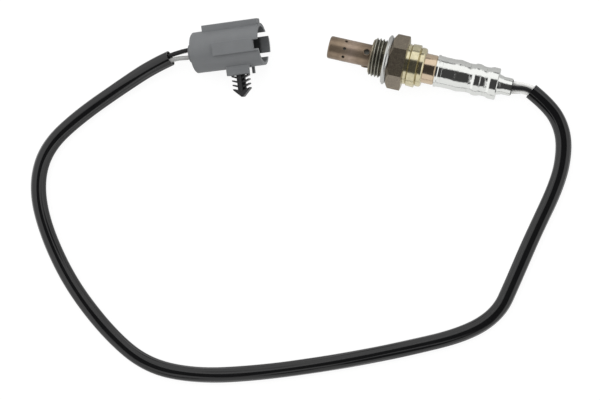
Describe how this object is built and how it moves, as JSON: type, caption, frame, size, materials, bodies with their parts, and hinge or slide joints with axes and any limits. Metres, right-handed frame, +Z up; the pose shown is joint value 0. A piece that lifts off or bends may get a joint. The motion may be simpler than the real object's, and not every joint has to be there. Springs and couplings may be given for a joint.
{
  "type": "oxygen sensor",
  "caption": "Exhaust oxygen sensor with threaded hexagon shell, crimped metal can, sleeved lead, round locking plug and fir-tree clip, lying on a bench.",
  "frame": {"origin": "on the bench, under the middle of the sensor's own bounding box (lead and plug left out)", "axes": "+X along the sensor, from its sensing tip to its cable end; +Z up from the bench; the lead lies towards -Y"},
  "size_m": [0.2484, 0.1824, 0.0232],
  "materials": {
    "heat_tinted_steel": "heat-tinted bronze",
    "shell_steel": "dull plated steel, browned",
    "gasket_steel": "bright folded metal",
    "talc": "pressed powder",
    "steatite": "matte",
    "zirconia": "matte",
    "heater_ceramic": "smooth",
    "sleeve_steel": "straw-tinted, satin",
    "can_steel": "bright drawn steel",
    "contact_metal": "nickel-plated",
    "grommet_rubber": "matte",
    "black_insulation": "satin",
    "grey_insulation": "satin",
    "white_insulation": "satin",
    "harness_tubing": "glossy, slightly creased",
    "grey_housing": "fine moulded grain",
    "seal_rubber": "matte",
    "dark_plastic": "moulded",
    "pin_metal": "tin-plated",
    "clip_plastic": "moulded"
  },
  "bodies": {
    "root": {"black_lead": "black_insulation", "black_pin": "pin_metal", "ceramic_bushing": "steatite", "connector_housing": "grey_housing", "crimp_ring": "shell_steel", "disc_spring": "contact_metal", "element_seat_washer": "gasket_steel", "grey_lead": "grey_insulation", "grey_pin": "pin_metal", "ground_contact": "contact_metal", "harness_sleeve": "harness_tubing", "heater_contact_a": "contact_metal", "heater_contact_b": "contact_metal", "heater_rod": "heater_ceramic", "inner_protection_tube": "heat_tinted_steel", "inner_sleeve": "sleeve_steel", "mounting_clip": "clip_plastic", "outer_can": "can_steel", "outer_protection_tube": "heat_tinted_steel", "seal_retainer": "dark_plastic", "sealing_gasket": "gasket_steel", "sensing_element": "zirconia", "signal_contact": "contact_metal", "tail_grommet": "grommet_rubber", "talc_ring": "talc", "terminal_insulator": "steatite", "terminal_lock": "dark_plastic", "threaded_shell": "shell_steel", "white_lead_a": "white_insulation", "white_lead_b": "white_insulation", "white_pin_a": "pin_metal", "white_pin_b": "pin_metal", "wire_seal": "seal_rubber"}
  },
  "joints": []
}
